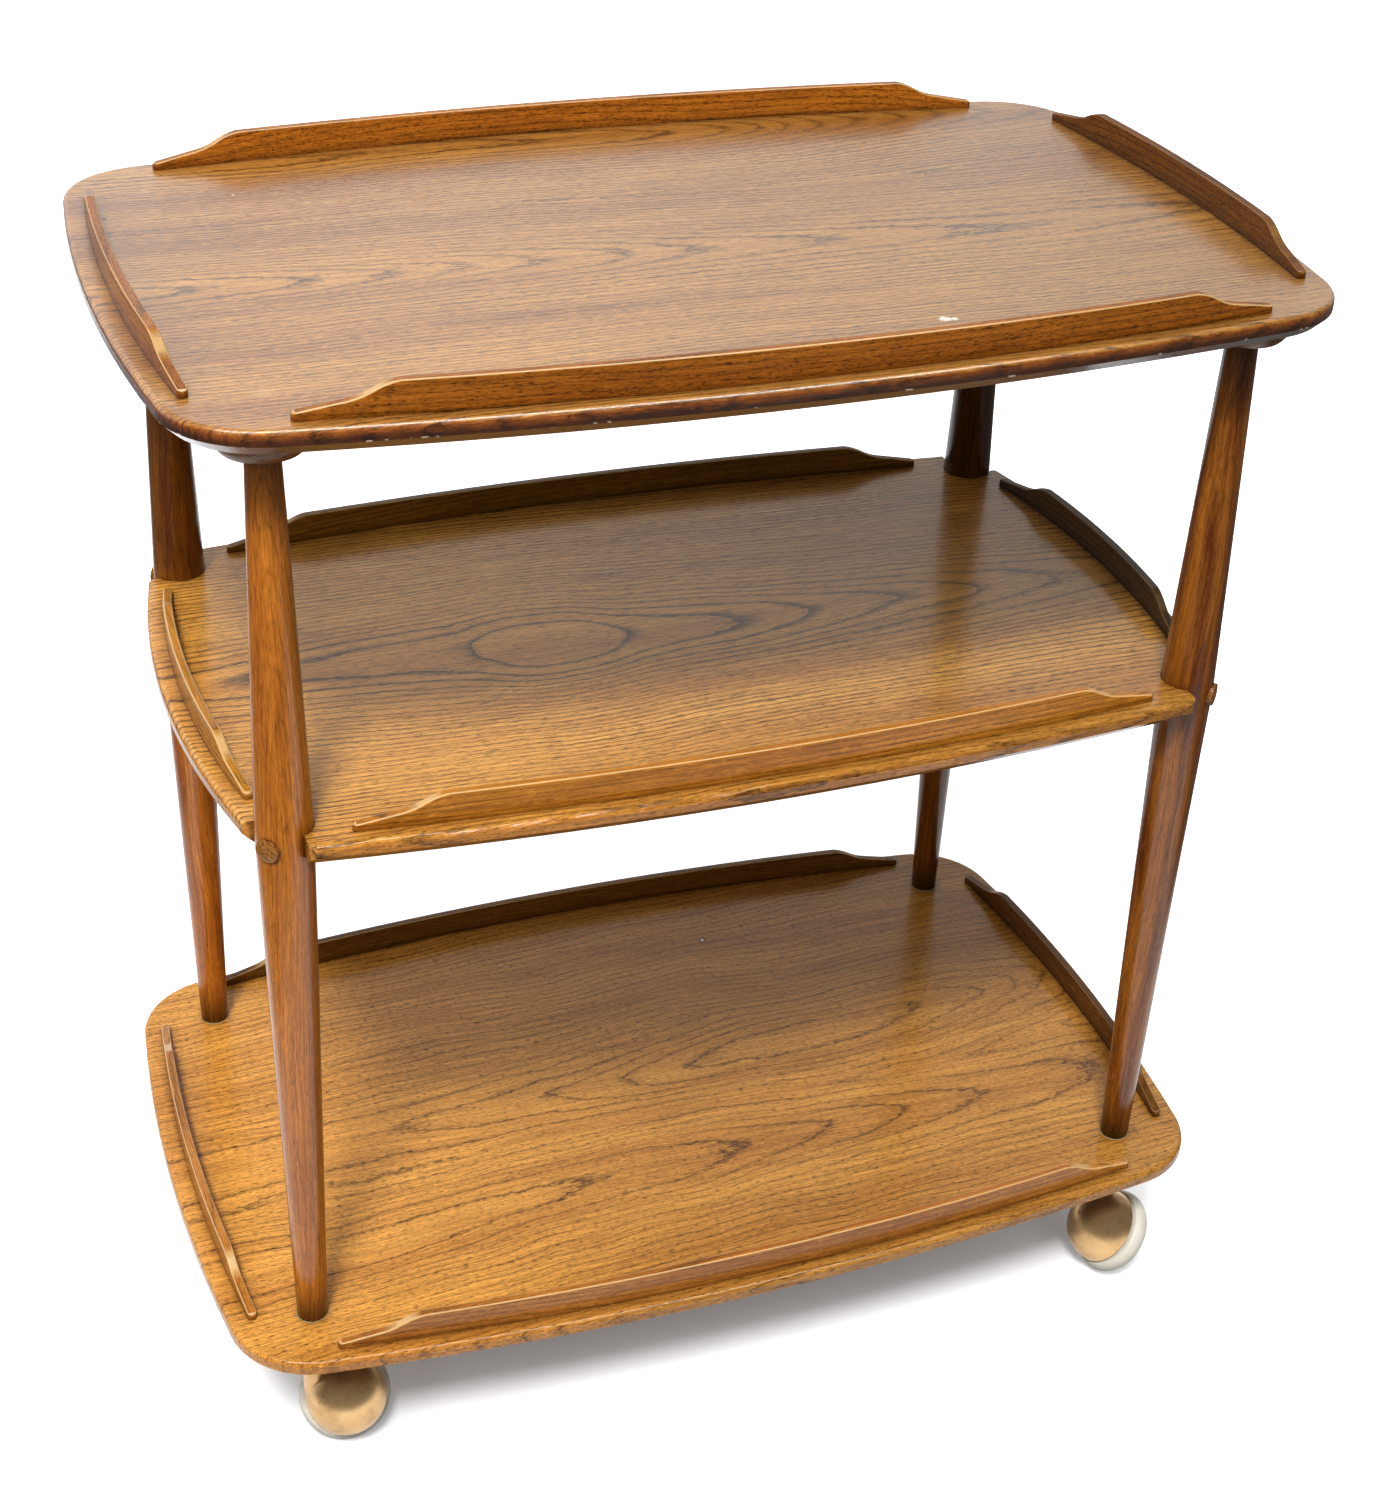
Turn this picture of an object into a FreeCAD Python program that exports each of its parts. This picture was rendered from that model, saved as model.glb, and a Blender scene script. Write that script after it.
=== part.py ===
import FreeCAD, Part
import math
import os

# A three tier serving trolley in elm, on four swivelling ball casters.
# The floor is at height zero, X runs along the trays, +Y to the back and +Z up.
# Lengths are in millimetres.

# Trays: top and bottom are alike, the middle one is set back from them all round
tray_length = 711.0
tray_width = 460.0
tray_side_bow = 28.0
tray_end_bow = 21.0
tray_corner_radius = 58.0
middle_end_setback = 23.5
middle_side_setback = 23.5
middle_side_bow = 22.0
middle_end_bow = 31.5
tray_thickness = 15.0
tray_top_round = 3.6
tray_under_bevel = 6.5
top_tray_height = 744.0
middle_tray_height = 481.0
bottom_tray_height = 105.0

# Gallery rails: thin bars let into the trays, each end falling in an ogee to a low sloped tip
rail_height = 19.0
rail_thickness = 6.0
rail_inset = 10.5
outer_end_rail_shift = 2.0
rail_groove_depth = 4.0
rail_tip_height = 4.8
rail_tip_round = 3.0
rail_step_height = 9.2
rail_step_length = 28.0
rail_ogee_run = 27.0
side_rail_setback = 71.5
end_rail_setback = 71.0
middle_side_rail_setback = 75.0
middle_end_rail_setback = 74.5

# Turned legs, thickest where they carry the middle tray
leg_end_setback = 63.0
leg_side_setback = 67.0
leg_end_radius = 9.8
leg_swell_radius = 17.0
leg_seat_depth = 1.5
tenon_radius = 8.5
tenon_depth = 9.0
tenon_end_gap = 0.5

# Turned bosses that stiffen the leg joints under the top and bottom trays
boss_radius = 28.0
boss_lip = 2.0
boss_flat_radius = 22.5
boss_sweep_radius = 16.0
top_boss_thickness = 14.0
bottom_boss_thickness = 14.0

# Middle tray corners: notched back from the leg axis, then hollowed to hug the leg
notch_setback = 8.4
ear_round = 5.0
cove_gap = 0.25

# Wood screws through the legs into the middle tray, and their turned covers
screw_radius = 2.0
screw_head_radius = 4.2
screw_head_depth = 2.6
screw_bite = 18.0
screw_hole_gap = 0.25
screw_pilot_gap = 0.05
cover_radius = 7.3
cover_stand = 1.8
cover_dome = 0.9
cover_shank_radius = 6.0
cover_shank_depth = 4.6
cover_gap = 0.1

# Ball casters: a hood and a tilted wheel, offset from the swivel stem
caster_tilt_degrees = 38.0
caster_trail = 18.5
caster_side_offset = 4.5
tyre_radius = 30.5
tyre_width = 12.0
tyre_bore_radius = 21.0
tyre_crown_radius = 9.0
wheel_dome_radius = 23.5
wheel_shoulder_radius = 8.0
wheel_shoulder_degrees = 60.0
wheel_cap_radius = 9.0
wheel_hub_radius = 7.5
wheel_hub_length = 9.0
wheel_web_setback = 2.0
hood_radius = 27.0
hood_wall = 2.0
hood_offset = 8.5
hood_boss_radius = 6.0
hub_gap = 0.6
axle_radius = 3.0
axle_bite = 12.0
lug_radius = 8.5
stem_radius = 4.0
stem_length = 38.0
stem_seat_depth = 12.0
socket_wall = 1.4
socket_flange_radius = 9.0
socket_flange = 1.2
socket_end_gap = 1.5
swivel_gap = 0.4

# Small clearances and one overrun for all cuts
glue_gap = 0.1
running_gap = 0.05
cut_overrun = 5.0

# Rest turns of the casters round their stems, in degrees, as seen from above
caster_turns = {
    "front_left": -94.0,
    "front_right": -188.0,
    "back_left": -150.0,
    "back_right": -105.0,
}

corners = {
    "front_left": (-1, -1),
    "front_right": (1, -1),
    "back_left": (-1, 1),
    "back_right": (1, 1),
}

# Turns that carry a rail from the back edge to each side of a tray, in degrees
rail_turns = {"back": 0.0, "front": 180.0, "right": -90.0, "left": 90.0}

origin = FreeCAD.Vector(0, 0, 0)
up = FreeCAD.Vector(0, 0, 1)

tray_under = {
    "top": top_tray_height - tray_thickness,
    "middle": middle_tray_height - tray_thickness,
    "bottom": bottom_tray_height - tray_thickness,
}
leg_x = tray_length / 2 - leg_end_setback
leg_y = tray_width / 2 - leg_side_setback
leg_foot_height = bottom_tray_height - leg_seat_depth
leg_head_height = tray_under["top"] - top_boss_thickness
leg_swell_height = middle_tray_height - tray_thickness / 2
boss_foot_height = tray_under["bottom"] - bottom_boss_thickness
socket_radius = stem_radius + running_gap + socket_wall


def vec(x, y, z=0):
    return FreeCAD.Vector(x, y, z)


def arc_radius(half_chord, rise):
    return (half_chord**2 + rise**2) / (2 * rise)


def cylinder(radius, low, high):
    return Part.makeCylinder(radius, high - low, vec(0, 0, low))


def turned(edges):
    """A solid turned about Z from a half outline in the XZ plane."""
    return Part.Face(Part.Wire(edges)).revolve(origin, up, 360)


def path(*points):
    """Straight edges through (radius, height) points."""
    return [line(start, end) for start, end in zip(points, points[1:])]


def line(start, end):
    return Part.makeLine(vec(start[0], 0, start[1]), vec(end[0], 0, end[1]))


def arc(start, middle, end):
    points = [vec(x, 0, z) for x, z in (start, middle, end)]
    return Part.Arc(*points).toShape()


def arc_middle(start, end, radius, centre_side):
    """The middle of a shallow arc, bulging away from the side where its centre is."""
    run = end[0] - start[0]
    rise = end[1] - start[1]
    chord = math.hypot(run, rise)
    bulge = radius - math.sqrt(radius**2 - (chord / 2) ** 2)
    middle_x = (start[0] + end[0]) / 2 + centre_side * bulge * rise / chord
    middle_z = (start[1] + end[1]) / 2 - centre_side * bulge * run / chord
    return (middle_x, middle_z)


def turn_to(shape, degrees, x=0, y=0):
    moved = shape.copy()
    moved.rotate(origin, up, degrees)
    moved.translate(vec(x, y))
    return moved


def save(name, shape):
    shape.exportStep("parts/" + name + ".step")


# Trays


def tray_sizes(tier):
    if tier == "middle":
        length = tray_length - 2 * middle_end_setback
        return length, tray_width - 2 * middle_side_setback, middle_side_bow, middle_end_bow
    return tray_length, tray_width, tray_side_bow, tray_end_bow


def edge_radii(tier):
    length, width, side_bow, end_bow = tray_sizes(tier)
    return arc_radius(length / 2, side_bow), arc_radius(width / 2, end_bow)


def edge_centres(tier):
    """Centres of the back and the right-hand edge arcs."""
    length, width, _, _ = tray_sizes(tier)
    side_radius, end_radius = edge_radii(tier)
    return vec(0, width / 2 - side_radius), vec(length / 2 - end_radius, 0)


def corner_centre(tier, radius):
    """Centre of the corner arc that meets the back and right-hand edges smoothly."""
    side_radius, end_radius = edge_radii(tier)
    side_centre, end_centre = edge_centres(tier)
    between = end_centre - side_centre
    distance = between.Length
    from_side = side_radius - radius
    from_end = end_radius - radius
    along = (from_side**2 - from_end**2 + distance**2) / (2 * distance)
    across = math.sqrt(from_side**2 - along**2)
    direction = between / distance
    return side_centre + direction * along + vec(direction.y, -direction.x) * across


def unit(start, end):
    return (end - start) / (end - start).Length


def flipped(point, sign_x, sign_y):
    return vec(point.x * sign_x, point.y * sign_y)


def tray_outline(tier):
    """Four bowed edges and, where the corners stay whole, four arcs that round them."""
    length, width, _, _ = tray_sizes(tier)
    radius = 0 if tier == "middle" else tray_corner_radius
    side_centre, end_centre = edge_centres(tier)
    centre = corner_centre(tier, radius)
    side_way = unit(side_centre, centre)
    end_way = unit(end_centre, centre)
    side_point = centre + side_way * radius
    end_point = centre + end_way * radius
    arcs = []
    for sign in (1, -1):
        ends = [flipped(end_point, sign, -1), vec(sign * length / 2, 0), flipped(end_point, sign, 1)]
        sides = [flipped(side_point, -1, sign), vec(0, sign * width / 2), flipped(side_point, 1, sign)]
        arcs += [Part.Arc(*ends), Part.Arc(*sides)]
    if radius:
        middle = centre + unit(vec(0, 0), side_way + end_way) * radius
        for signs in corners.values():
            arcs.append(Part.Arc(*[flipped(p, *signs) for p in (side_point, middle, end_point)]))
    edges = Part.sortEdges([curve.toShape() for curve in arcs])[0]
    return Part.Face(Part.Wire(edges))


def edges_at(solid, height):
    slack = glue_gap / 10
    found = []
    for edge in solid.Edges:
        box = edge.BoundBox
        if abs(box.ZMin - height) < slack and abs(box.ZMax - height) < slack:
            found.append(edge)
    return found


def tray_board(tier, height):
    """The bowed board with its round-over on top and bevel below."""
    board = tray_outline(tier).extrude(vec(0, 0, tray_thickness))
    board = board.makeFillet(tray_top_round, edges_at(board, tray_thickness))
    board = board.makeChamfer(tray_under_bevel, edges_at(board, 0))
    board.translate(vec(0, 0, height - tray_thickness))
    return board


def rail_lengths(tier):
    """Lengths of the side and end rails, which stop short of the tray's corners."""
    length, width, _, _ = tray_sizes(tier)
    if tier == "middle":
        return length - 2 * middle_side_rail_setback, width - 2 * middle_end_rail_setback
    return length - 2 * side_rail_setback, width - 2 * end_rail_setback


def rail_places(tier):
    """Turn, distance of the tray edge, radius of that edge and length of each rail."""
    length, width, _, _ = tray_sizes(tier)
    side_radius, end_radius = edge_radii(tier)
    side, end = rail_lengths(tier)
    end_shift = 0 if tier == "middle" else outer_end_rail_shift
    places = {}
    for name, turn in rail_turns.items():
        if name in ("front", "back"):
            places[name] = (turn, width / 2, side_radius, side)
        else:
            places[name] = (turn, length / 2 - end_shift, end_radius, end)
    return places


def rail_plan(edge_distance, edge_radius, length, gap):
    """The bowed bar seen from above, with half round ends and a gap all round."""
    centre = vec(0, edge_distance - edge_radius)
    middle_radius = edge_radius - rail_inset - rail_thickness / 2
    half_width = rail_thickness / 2 + gap
    lean = math.asin((length / 2 - rail_thickness / 2) / middle_radius)

    def at(angle, radius):
        return centre + vec(math.sin(angle) * radius, math.cos(angle) * radius)

    def long_edge(radius):
        return Part.Arc(at(-lean, radius), at(0, radius), at(lean, radius))

    def end_edge(angle, way):
        tip = at(angle, middle_radius) + vec(math.cos(angle), -math.sin(angle)) * half_width * way
        return Part.Arc(at(angle, middle_radius + half_width), tip, at(angle, middle_radius - half_width))

    arcs = [
        long_edge(middle_radius + half_width),
        end_edge(lean, 1),
        long_edge(middle_radius - half_width),
        end_edge(-lean, -1),
    ]
    edges = Part.sortEdges([curve.toShape() for curve in arcs])[0]
    return Part.Face(Part.Wire(edges))


def rail_end(half, sign):
    """Edges of one rail end, from the foot up over the tip and the ogee to the top."""
    ogee_rise = rail_height - rail_step_height
    slope = math.atan2(rail_step_height - rail_tip_height, rail_step_length - rail_tip_round)
    chord = math.atan2(ogee_rise, rail_ogee_run)
    ogee_radius = math.hypot(rail_ogee_run, ogee_rise) / 4 / math.sin(chord - slope)
    foot = (sign * half, -rail_groove_depth - cut_overrun)
    tip = (sign * half, rail_tip_height - rail_tip_round)
    step = (sign * (half - rail_tip_round), rail_tip_height)
    low = (sign * (half - rail_step_length), rail_step_height)
    middle = (sign * (half - rail_step_length - rail_ogee_run / 2), rail_step_height + ogee_rise / 2)
    high = (sign * (half - rail_step_length - rail_ogee_run), rail_height)
    lean = rail_tip_round * math.sqrt(0.5)
    tip_middle = (sign * (half - rail_tip_round + lean), rail_tip_height - rail_tip_round + lean)
    return high, foot, [
        line(foot, tip),
        arc(tip, tip_middle, step),
        line(step, low),
        arc(low, arc_middle(low, middle, ogee_radius, -sign), middle),
        arc(middle, arc_middle(middle, high, ogee_radius, sign), high),
    ]


def make_rail(edge_distance, edge_radius, length, height):
    """A bowed bar cut to the stepped outline of its ends."""
    plan = rail_plan(edge_distance, edge_radius, length, 0)
    plan.translate(vec(0, 0, -rail_groove_depth))
    bar = plan.extrude(vec(0, 0, rail_groove_depth + rail_height + cut_overrun))
    high_right, foot_right, right = rail_end(length / 2 + glue_gap, 1)
    high_left, foot_left, left = rail_end(length / 2 + glue_gap, -1)
    edges = right + [line(high_right, high_left)] + left + [line(foot_left, foot_right)]
    outline = Part.Face(Part.Wire(Part.sortEdges(edges)[0]))
    rail = bar.common(outline.extrude(vec(0, edge_distance + cut_overrun, 0))).Solids[0]
    rail.translate(vec(0, 0, height))
    return rail


def cut_grooves(board, tier, height):
    for turn, distance, radius, length in rail_places(tier).values():
        groove = rail_plan(distance, radius, length, glue_gap)
        groove.translate(vec(0, 0, height - rail_groove_depth))
        groove = groove.extrude(vec(0, 0, rail_groove_depth + cut_overrun))
        board = board.cut(turn_to(groove, turn))
    return board


def at_corners():
    """Name, signs and place of each of the four legs."""
    for name, (side_x, side_y) in corners.items():
        yield name, side_x, side_y, side_x * leg_x, side_y * leg_y


def corner_degrees(side_x, side_y):
    return math.degrees(math.atan2(side_y, side_x))


def notch_plan():
    """Plan of the corner notch, outward along +X and +Y from the leg axis."""
    length, width, _, _ = tray_sizes("middle")
    side_radius, end_radius = edge_radii("middle")
    inner = -notch_setback
    ear = inner - ear_round
    side_edge = width / 2 - side_radius
    side_edge += math.sqrt(side_radius**2 - (leg_x + ear) ** 2) - leg_y
    end_edge = length / 2 - end_radius
    end_edge += math.sqrt(end_radius**2 - (leg_y + ear) ** 2) - leg_x
    far = leg_swell_radius * 3
    lean = ear_round * (1 - math.sqrt(0.5))
    edges = [
        Part.makeLine(vec(inner, inner), vec(inner, side_edge - ear_round)),
        Part.Arc(
            vec(inner, side_edge - ear_round),
            vec(inner - lean, side_edge - lean),
            vec(ear, side_edge),
        ).toShape(),
        Part.makeLine(vec(ear, side_edge), vec(ear, far)),
        Part.makeLine(vec(ear, far), vec(far, far)),
        Part.makeLine(vec(far, far), vec(far, ear)),
        Part.makeLine(vec(far, ear), vec(end_edge, ear)),
        Part.Arc(
            vec(end_edge, ear),
            vec(end_edge - lean, inner - lean),
            vec(end_edge - ear_round, inner),
        ).toShape(),
        Part.makeLine(vec(end_edge - ear_round, inner), vec(inner, inner)),
    ]
    return Part.Face(Part.Wire(edges))


def cut_corners(board):
    """Notch, cove and screw pilot hole at each corner of the middle tray."""
    low = tray_under["middle"] - cut_overrun
    high = middle_tray_height + cut_overrun
    notch = notch_plan()
    notch.translate(vec(0, 0, low))
    notch = notch.extrude(vec(0, 0, high - low))
    cove = cylinder(leg_swell_radius + cove_gap, low, high)
    pilot = drilled(screw_radius + screw_pilot_gap, -screw_reach(), 0)
    for _, side_x, side_y, x, y in at_corners():
        tool = notch
        if side_x < 0:
            tool = tool.mirror(origin, vec(1, 0))
        if side_y < 0:
            tool = tool.mirror(origin, vec(0, 1))
        tool = turn_to(tool, 0, x, y)
        board = board.cut([tool, turn_to(cove, 0, x, y)])
        board = board.cut(turn_to(pilot, corner_degrees(side_x, side_y), x, y))
    return board


def make_tray(tier, height):
    """A board with its rail grooves, and the holes or corner notches that the legs need."""
    board = cut_grooves(tray_board(tier, height), tier, height)
    if tier == "middle":
        return cut_corners(board).Solids[0]
    bore = tenon_radius + glue_gap
    low = tray_under[tier] - cut_overrun
    if tier == "top":
        mortise = cylinder(bore, low, tray_under[tier] + tenon_depth)
    else:
        seat = cylinder(leg_end_radius + glue_gap, leg_foot_height, height + cut_overrun)
        mortise = cylinder(bore, low, height).fuse(seat)
    for _, _, _, x, y in at_corners():
        board = board.cut(turn_to(mortise, 0, x, y))
    return board.Solids[0]


# Legs, bosses, screws and covers


def drilled(radius, start, end):
    """A hole or pin along +X at the height of the middle tray's screws."""
    return Part.makeCylinder(radius, end - start, vec(start, 0, leg_swell_height), vec(1, 0))


def screw_reach():
    return leg_swell_radius + screw_bite


def cover_seat():
    """Distance from the leg axis to the floor of the cover's counterbore."""
    return leg_swell_radius - cover_shank_depth


def leg_body():
    """A turned leg that tapers both ways from a short band at the middle tray."""
    foot = boss_foot_height + tenon_end_gap
    head = tray_under["top"] + tenon_depth - tenon_end_gap
    return turned(path(
        (0, foot),
        (tenon_radius, foot),
        (tenon_radius, leg_foot_height),
        (leg_end_radius, leg_foot_height),
        (leg_end_radius, bottom_tray_height),
        (leg_swell_radius, tray_under["middle"]),
        (leg_swell_radius, middle_tray_height),
        (leg_end_radius, leg_head_height),
        (tenon_radius, leg_head_height),
        (tenon_radius, head),
        (0, head),
        (0, foot),
    ))


def make_leg():
    leg = leg_body()
    bore_top = boss_foot_height + socket_length() + socket_end_gap
    leg = leg.cut(cylinder(socket_radius + glue_gap, boss_foot_height - cut_overrun, bore_top))
    seat = cover_seat()
    hole = drilled(screw_radius + screw_hole_gap, -leg_swell_radius - cut_overrun, seat)
    counterbore = drilled(cover_shank_radius + cover_gap, seat, leg_swell_radius + cut_overrun)
    sink = Part.makeCone(
        screw_radius + screw_hole_gap,
        screw_head_radius + screw_hole_gap,
        screw_head_depth,
        vec(seat - screw_head_depth, 0, leg_swell_height),
        vec(1, 0),
    )
    return leg.cut([hole, counterbore, sink]).Solids[0]


def make_screw():
    seat = cover_seat()
    head = Part.makeCone(
        screw_radius,
        screw_head_radius,
        screw_head_depth,
        vec(seat - screw_head_depth, 0, leg_swell_height),
        vec(1, 0),
    )
    tip = screw_radius * 2
    shank = drilled(screw_radius, tip - screw_reach(), seat - screw_head_depth)
    point = Part.makeCone(
        0,
        screw_radius,
        tip,
        vec(-screw_reach(), 0, leg_swell_height),
        vec(1, 0),
    )
    return shank.fuse([head, point]).removeSplitter().Solids[0]


def make_cover():
    """A turned cap: a shank in the counterbore and a domed head that sits on the leg."""
    seat = cover_seat() + cover_gap
    rim = leg_swell_radius + cover_stand
    under = leg_swell_radius - cover_shank_depth / 2
    dome = arc_radius(cover_radius, cover_dome)
    half_angle = math.asin(cover_radius / dome) / 2
    dome_middle = (dome * math.sin(half_angle), rim + cover_dome - dome * (1 - math.cos(half_angle)))
    edges = path(
        (0, rim + cover_dome),
        (0, seat),
        (cover_shank_radius, seat),
        (cover_shank_radius, under),
        (cover_radius, under),
        (cover_radius, rim),
    )
    cap = turned(edges + [arc((cover_radius, rim), dome_middle, (0, rim + cover_dome))])
    cap.rotate(origin, vec(0, 1), 90)
    cap.translate(vec(0, 0, leg_swell_height))
    skin = cylinder(leg_swell_radius + cover_gap, tray_under["middle"], middle_tray_height)
    skin = skin.cut(drilled(cover_shank_radius, 0, leg_swell_radius + cut_overrun))
    return cap.cut(skin).Solids[0]


def make_boss(seat_height, thickness):
    """A saucer under a tray: a short lip, then a round sweep in to its flat foot."""
    foot = seat_height - thickness
    bore = tenon_radius + glue_gap
    lip = (boss_radius, seat_height - boss_lip)
    flat = (boss_flat_radius, foot)
    sweep = arc(lip, arc_middle(lip, flat, boss_sweep_radius, -1), flat)
    edges = path(flat, (bore, foot), (bore, seat_height), (boss_radius, seat_height), lip)
    return turned(edges + [sweep])


# Casters. Wheel pieces are turned about Z with the hood above, then tilted and set in place


def wheel_height():
    """Height of the wheel centre that stands the tilted tyre on the floor."""
    tilt = math.radians(caster_tilt_degrees)
    return (tyre_radius - tyre_crown_radius) * math.cos(tilt) + tyre_crown_radius


def tilt_wheel(shape):
    """Lean a wheel piece back and set it where the hood's centre trails beside the stem."""
    moved = shape.copy()
    moved.rotate(origin, vec(0, 1), 90 - caster_tilt_degrees)
    aside = hood_offset * math.cos(math.radians(caster_tilt_degrees))
    moved.translate(vec(caster_side_offset - aside, caster_trail, wheel_height()))
    return moved


def lug_top():
    return boss_foot_height - socket_flange - swivel_gap


def socket_length():
    return stem_length + socket_end_gap


def make_tyre():
    half = tyre_width / 2
    crown = tyre_radius - tyre_crown_radius
    shoulder = crown + math.sqrt(tyre_crown_radius**2 - half**2)
    edges = path((shoulder, half), (tyre_bore_radius, half), (tyre_bore_radius, -half), (shoulder, -half))
    edges.append(arc((shoulder, -half), (tyre_radius, 0), (shoulder, half)))
    return tilt_wheel(turned(edges))


def make_wheel():
    """Hub, web and round-shouldered outer cap in one moulding, with a blind bore for the axle."""
    back = -tyre_width / 2 - glue_gap
    front = tyre_width / 2 - wheel_web_setback
    rim = tyre_bore_radius - glue_gap
    turn = math.radians(wheel_shoulder_degrees)

    def shoulder(angle):
        centre = wheel_dome_radius - wheel_shoulder_radius
        return (centre + wheel_shoulder_radius * math.cos(angle), back - wheel_shoulder_radius * math.sin(angle))

    slope_start = shoulder(turn)
    pole = slope_start[1] - (slope_start[0] - wheel_cap_radius) / math.tan(turn)
    hub_top = front + wheel_hub_length
    bore = axle_radius + running_gap
    bore_end = hub_top - wheel_hub_length - axle_bite - swivel_gap
    edges = path(
        (wheel_dome_radius, back),
        (rim, back),
        (rim, front),
        (wheel_hub_radius, front),
        (wheel_hub_radius, hub_top),
        (bore, hub_top),
        (bore, bore_end),
        (0, bore_end),
        (0, pole),
        (wheel_cap_radius, pole),
        slope_start,
    )
    edges.append(arc(slope_start, shoulder(turn / 2), (wheel_dome_radius, back)))
    return tilt_wheel(turned(edges))


def axle_ends():
    front = tyre_width / 2 - wheel_web_setback
    reach = math.sqrt((hood_radius - hood_wall) ** 2 - hood_boss_radius**2)
    return front - axle_bite, hood_offset + reach


def make_axle():
    low, high = axle_ends()
    return tilt_wheel(cylinder(axle_radius, low, high))


def make_hood():
    """Half ball shell with an inner axle boss and a lug that rises to the stem."""
    rim = hood_offset
    inner = hood_radius - hood_wall
    ball = Part.makeSphere(hood_radius, vec(0, 0, rim))
    cavity = Part.makeSphere(inner, vec(0, 0, rim))
    boss_low = tyre_width / 2 - wheel_web_setback + wheel_hub_length + hub_gap
    boss = cylinder(hood_boss_radius, boss_low, rim + inner)
    boss = boss.cut(cylinder(axle_radius, boss_low - cut_overrun, axle_ends()[1]))
    below = Part.makeCylinder(hood_radius * 3, hood_radius * 3, vec(0, 0, rim), vec(0, 0, -1))
    lug = cylinder(lug_radius, wheel_height(), lug_top())
    shell = tilt_wheel(ball).fuse(lug).cut([tilt_wheel(cavity), tilt_wheel(below)])
    shell = shell.fuse(tilt_wheel(boss.common(cavity)))
    seat = cylinder(stem_radius, lug_top() - stem_seat_depth, lug_top() + cut_overrun)
    return shell.cut(seat).removeSplitter().Solids[0]


def make_stem():
    stem = cylinder(stem_radius, lug_top() - stem_seat_depth, boss_foot_height + stem_length)
    return stem.makeChamfer(stem_radius / 4, edges_at(stem, boss_foot_height + stem_length))


def make_socket():
    """Flanged sleeve pressed up into the leg's foot."""
    low = boss_foot_height - socket_flange
    high = boss_foot_height + socket_length()
    bore = stem_radius + running_gap
    flange = (socket_flange_radius, boss_foot_height)
    outside = path((socket_flange_radius, low), flange, (socket_radius, boss_foot_height), (socket_radius, high))
    inside = path((socket_radius, high), (bore, high), (bore, low), (socket_flange_radius, low))
    return turned(outside + inside)


os.makedirs("parts", exist_ok=True)

heights = {"top": top_tray_height, "middle": middle_tray_height, "bottom": bottom_tray_height}
for tier, height in heights.items():
    save(tier + "_tray", make_tray(tier, height))
    for side, (turn, distance, radius, length) in rail_places(tier).items():
        rail = make_rail(distance, radius, length, height)
        save(tier + "_" + side + "_rail", turn_to(rail, turn))

leg = make_leg()
cover = make_cover()
screw = make_screw()
top_boss = make_boss(tray_under["top"], top_boss_thickness)
bottom_boss = make_boss(tray_under["bottom"], bottom_boss_thickness)
caster_pieces = {
    "socket": make_socket(),
    "stem": make_stem(),
    "hood": make_hood(),
    "axle": make_axle(),
    "wheel": make_wheel(),
    "tyre": make_tyre(),
}
screws = []
for name, side_x, side_y, x, y in at_corners():
    outward = corner_degrees(side_x, side_y)
    save(name + "_leg", turn_to(leg, outward, x, y))
    save(name + "_screw_cover", turn_to(cover, outward, x, y))
    save(name + "_top_boss", turn_to(top_boss, outward, x, y))
    save(name + "_bottom_boss", turn_to(bottom_boss, outward, x, y))
    screws.append(turn_to(screw, outward, x, y))
    for piece, shape in caster_pieces.items():
        save(name + "_caster_" + piece, turn_to(shape, caster_turns[name], x, y))
save("middle_tray_screws", Part.makeCompound(screws))
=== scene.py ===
import math
import random
from types import SimpleNamespace

import bmesh
import bpy
from mathutils import Matrix, Vector


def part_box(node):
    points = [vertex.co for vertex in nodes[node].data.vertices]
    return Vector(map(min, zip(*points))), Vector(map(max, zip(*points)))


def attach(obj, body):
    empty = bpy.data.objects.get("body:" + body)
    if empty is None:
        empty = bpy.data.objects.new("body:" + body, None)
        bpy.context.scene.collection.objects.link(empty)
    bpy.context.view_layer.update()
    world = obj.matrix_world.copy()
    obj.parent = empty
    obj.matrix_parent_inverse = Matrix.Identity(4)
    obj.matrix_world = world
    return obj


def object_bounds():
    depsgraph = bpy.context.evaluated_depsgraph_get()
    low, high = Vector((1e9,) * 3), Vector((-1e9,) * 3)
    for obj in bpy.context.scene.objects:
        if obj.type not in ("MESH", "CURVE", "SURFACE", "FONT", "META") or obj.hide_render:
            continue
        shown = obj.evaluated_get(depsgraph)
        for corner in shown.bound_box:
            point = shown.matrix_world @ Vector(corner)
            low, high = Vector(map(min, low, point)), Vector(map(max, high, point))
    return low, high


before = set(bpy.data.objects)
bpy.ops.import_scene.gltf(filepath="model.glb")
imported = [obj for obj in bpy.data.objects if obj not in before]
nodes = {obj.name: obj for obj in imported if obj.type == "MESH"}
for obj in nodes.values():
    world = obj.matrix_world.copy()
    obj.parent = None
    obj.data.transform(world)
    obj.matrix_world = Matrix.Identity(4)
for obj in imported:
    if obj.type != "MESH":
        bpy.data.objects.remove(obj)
cad_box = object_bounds()

# The camera, found from the photograph: metres, radians, and its focal length in the photograph's pixels
camera_place = Vector((-0.5098, -1.3361, 1.2588))
camera_yaw = 0.3759
camera_pitch = -0.5493
camera_roll = 0.0431
focal_pixels = 2479.67
photo_height = 1500
sensor_size = 36.0

# Names that the pieces share
tiers = ("top", "middle", "bottom")
sides = ("back", "front", "right", "left")
long_sides = ("back", "front")
corners = ("front_left", "front_right", "back_left", "back_right")


# Shader helpers

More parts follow.
